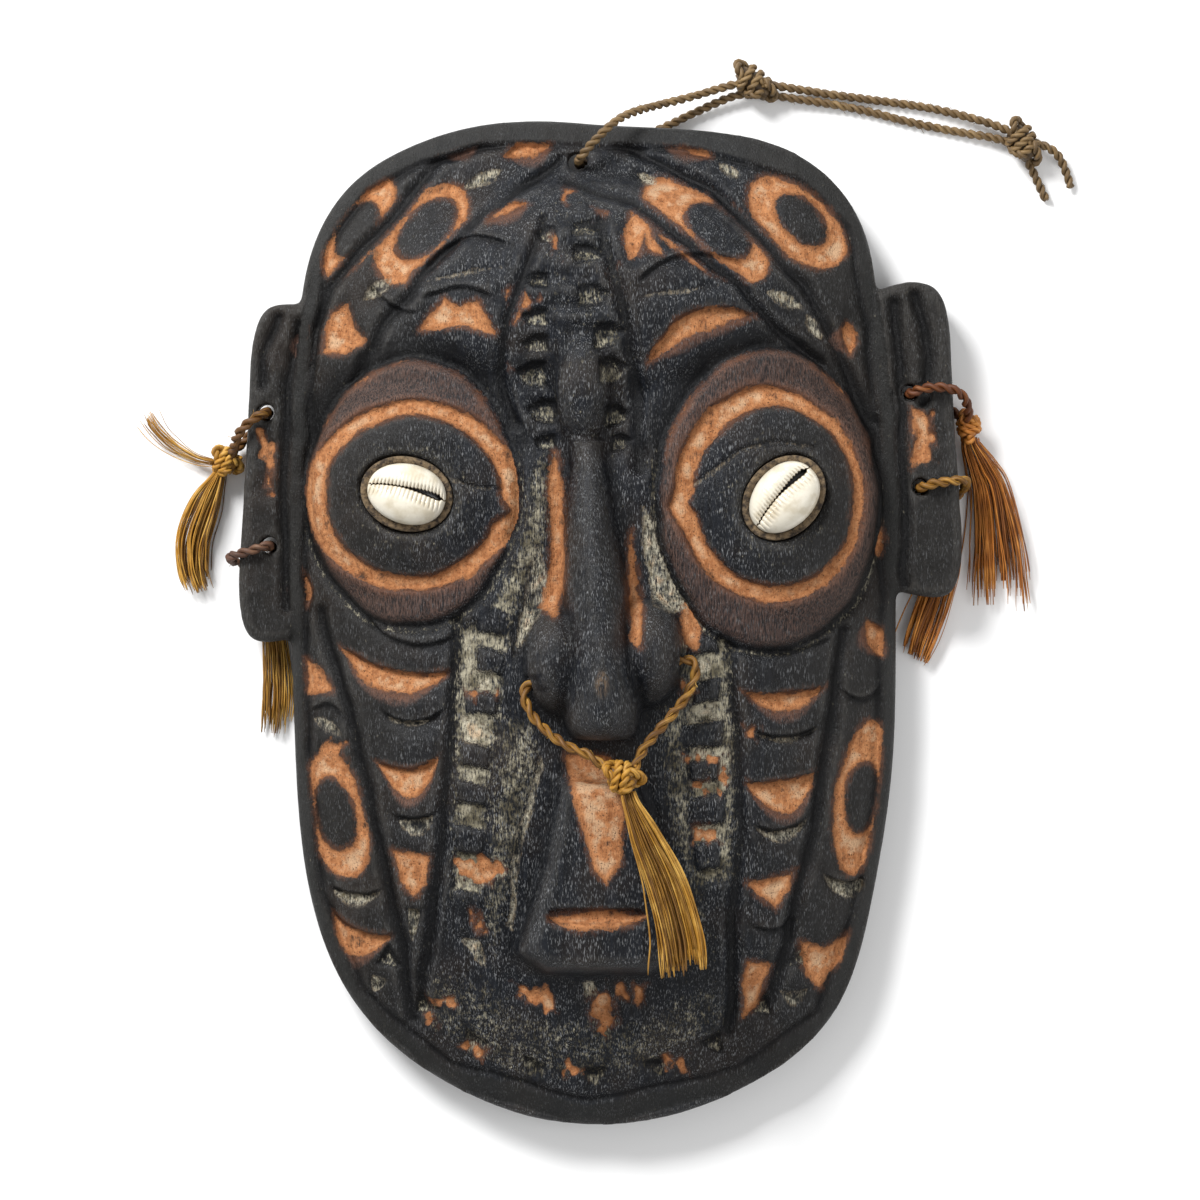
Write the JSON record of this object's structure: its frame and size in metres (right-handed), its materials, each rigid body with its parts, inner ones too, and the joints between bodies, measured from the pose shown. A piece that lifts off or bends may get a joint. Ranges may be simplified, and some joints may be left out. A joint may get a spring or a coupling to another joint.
{
  "type": "carved wooden wall mask",
  "caption": "Carved, painted wooden face mask with a hollow back, shell eyes, a hanging loop, a nose cord and fibre tassels on the ears.",
  "frame": {"origin": "middle of the wood's outline on the plane of the flat back rim", "axes": "+Z out of the face, away from the wall; +Y from the chin to the forehead; +X to the right as the mask is looked at"},
  "size_m": [0.2463, 0.2789, 0.0543],
  "materials": {
    "carved_wood": "blue-black stain, worn, with ochre and cream paint in the carving",
    "shell": "smooth cream cowrie shell with grey stains",
    "putty": "rough tan resin putty",
    "hanging_fibre": "thin brown two-ply plant-fibre string",
    "golden_fibre": "golden raffia, twisted in the cords, loose in the tassels",
    "dark_fibre": "dark brown twisted raffia",
    "red_fibre": "reddish brown raffia"
  },
  "bodies": {
    "mask": {"mask_body": "carved_wood", "left_cowrie": "shell", "left_putty": "putty", "right_cowrie": "shell", "right_putty": "putty", "left_ear_upper_cord": "golden_fibre", "left_ear_upper_knot": "golden_fibre", "left_ear_wisp": "golden_fibre", "left_ear_lower_cord": "dark_fibre", "left_ear_lower_knot": "golden_fibre", "right_ear_upper_cord": "red_fibre", "right_ear_upper_knot": "red_fibre", "right_ear_lower_cord": "golden_fibre", "right_ear_lower_knot": "red_fibre"},
    "hanging_loop": {"hanging_cord": "hanging_fibre", "hanging_knot": "hanging_fibre", "loop_end_knot": "hanging_fibre"},
    "nose_loop": {"nose_cord": "golden_fibre", "nose_knot": "golden_fibre"},
    "nose_tassel_body": {"nose_tassel": "golden_fibre"},
    "left_upper_tassel": {"left_ear_upper_tassel": "golden_fibre"},
    "left_lower_tassel": {"left_ear_lower_tassel": "golden_fibre"},
    "right_upper_tassel": {"right_ear_upper_tassel": "red_fibre"},
    "right_lower_tassel": {"right_ear_lower_tassel": "red_fibre"}
  },
  "joints": [
    {"name": "hanging_loop_swing", "type": "hinge", "parent": "mask", "child": "hanging_loop", "pos_m": [-0.0059, 0.1204, 0.009], "axis": [0, 0, 1], "range_deg": [0, 78]},
    {"name": "nose_cord_swing", "type": "hinge", "parent": "mask", "child": "nose_loop", "pos_m": [0.00225, -0.012, 0.035], "axis": [-0.9882, -0.1532, 0], "range_deg": [0, 22]},
    {"name": "nose_tassel_swing", "type": "hinge", "parent": "nose_loop", "child": "nose_tassel_body", "pos_m": [0.0057, -0.0389, 0.046], "axis": [-0.9397, 0.342, 0], "range_deg": [0, 60]},
    {"name": "left_upper_tassel_swing", "type": "hinge", "parent": "mask", "child": "left_upper_tassel", "pos_m": [-0.0984, 0.0424, 0.0044], "axis": [0, 0, -1], "range_deg": [0, 28]},
    {"name": "left_lower_tassel_swing", "type": "hinge", "parent": "mask", "child": "left_lower_tassel", "pos_m": [-0.088, 0.0142, 0.0026], "axis": [0, 0, -1], "range_deg": [0, 28]},
    {"name": "right_upper_tassel_swing", "type": "hinge", "parent": "mask", "child": "right_upper_tassel", "pos_m": [0.0967, 0.0518, 0.006], "axis": [0, 0, 1], "range_deg": [0, 40]},
    {"name": "right_lower_tassel_swing", "type": "hinge", "parent": "mask", "child": "right_lower_tassel", "pos_m": [0.0898, 0.031, 0.0026], "axis": [0, 0, 1], "range_deg": [0, 8]}
  ]
}
